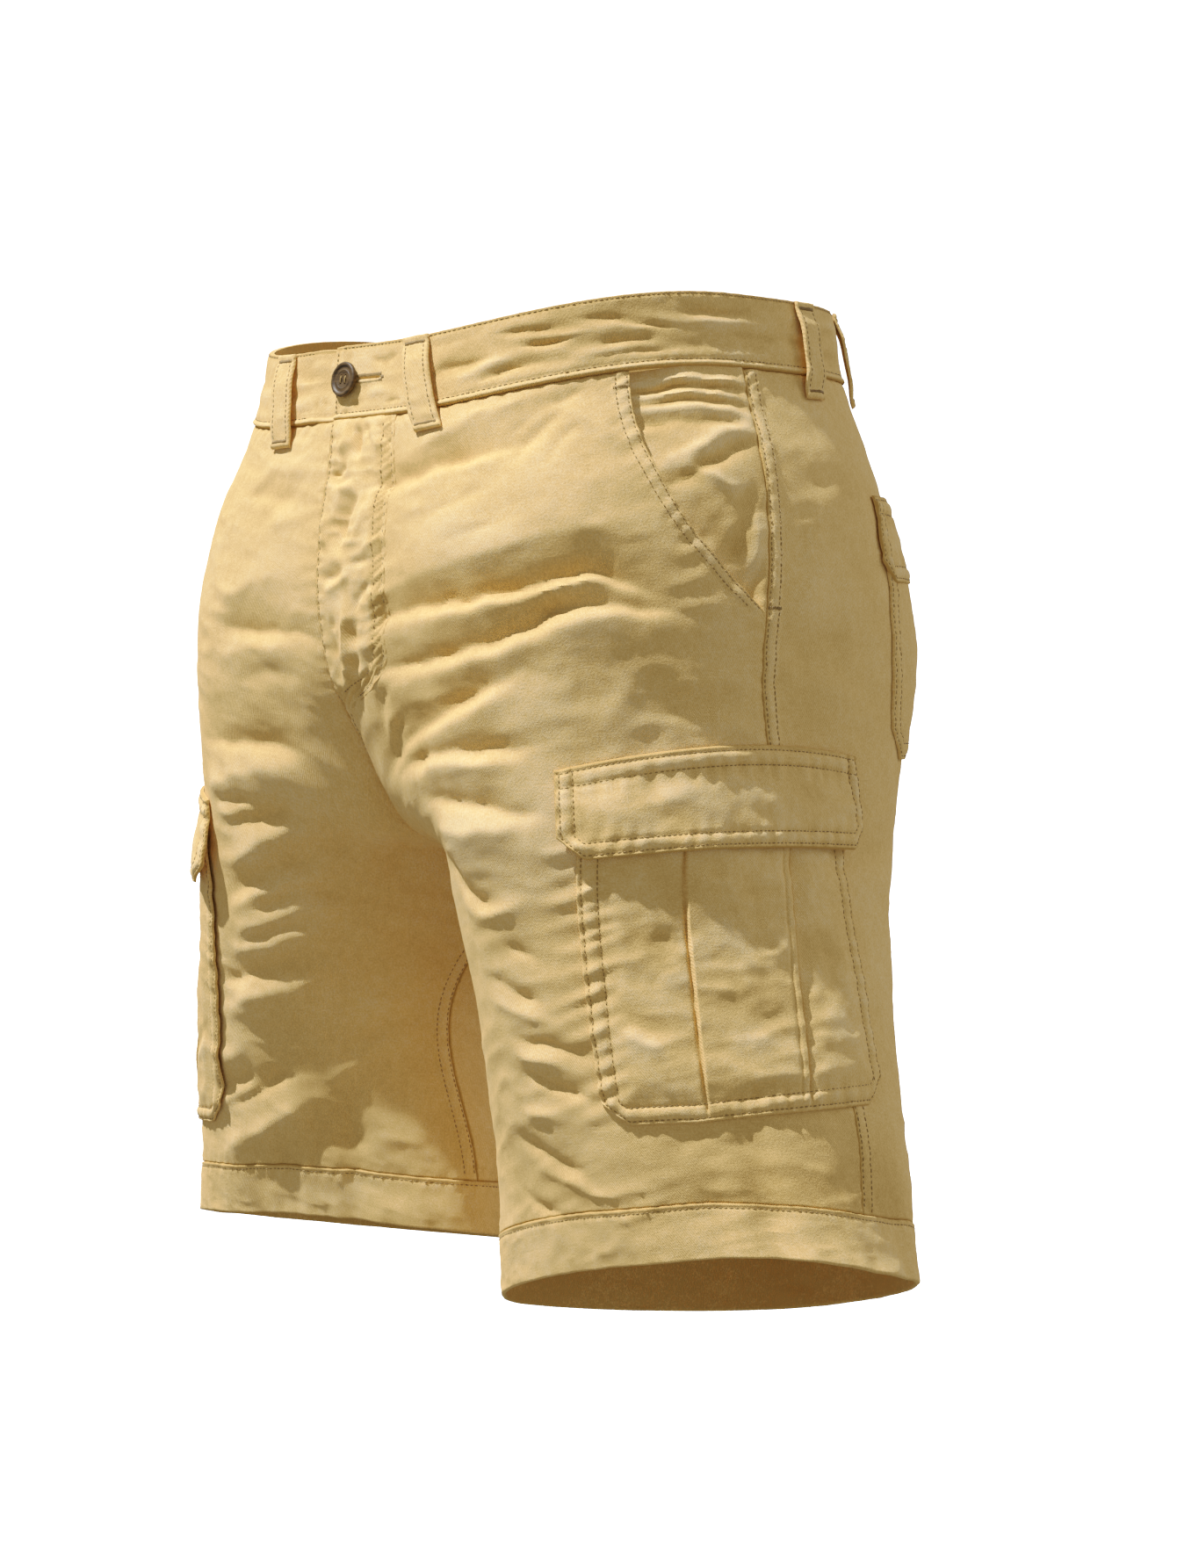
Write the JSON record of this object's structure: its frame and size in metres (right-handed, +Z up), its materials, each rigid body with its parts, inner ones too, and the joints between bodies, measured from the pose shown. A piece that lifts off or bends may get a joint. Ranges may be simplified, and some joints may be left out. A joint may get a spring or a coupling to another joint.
{
  "type": "cargo shorts",
  "caption": "Knee-length cargo shorts of cotton twill, filled out as worn, with a buttoned waistband, fly, slanted front pockets, and flapped cargo and back pockets.",
  "frame": {"origin": "middle of the waist, level with half the waistband's height at the sides, where the wearer holds the garment up", "axes": "+X towards the wearer's left, -Y towards the front, +Z up"},
  "size_m": [0.5362, 0.3163, 0.5278],
  "materials": {
    "cloth": "washed cotton twill, matte",
    "facing": "washed cotton twill, matte",
    "button": "olive brown, horn-like, satin"
  },
  "bodies": {
    "root": {"front_left": "cloth", "front_right": "cloth", "back_left": "cloth", "back_right": "cloth", "waistband": "cloth", "fly_lap": "cloth", "cargo_pocket_left": "cloth", "cargo_pocket_right": "cloth", "cargo_flap_left": "cloth", "cargo_flap_right": "cloth", "back_pocket_left": "cloth", "back_pocket_right": "cloth", "back_flap_left": "cloth", "back_flap_right": "cloth", "hem_left": "cloth", "hem_right": "cloth", "belt_loop_1": "cloth", "belt_loop_2": "cloth", "belt_loop_3": "cloth", "belt_loop_4": "cloth", "belt_loop_5": "cloth", "belt_loop_6": "cloth", "belt_loop_7": "cloth", "pocket_facing_left": "facing", "pocket_facing_right": "facing", "button": "button"}
  },
  "joints": []
}
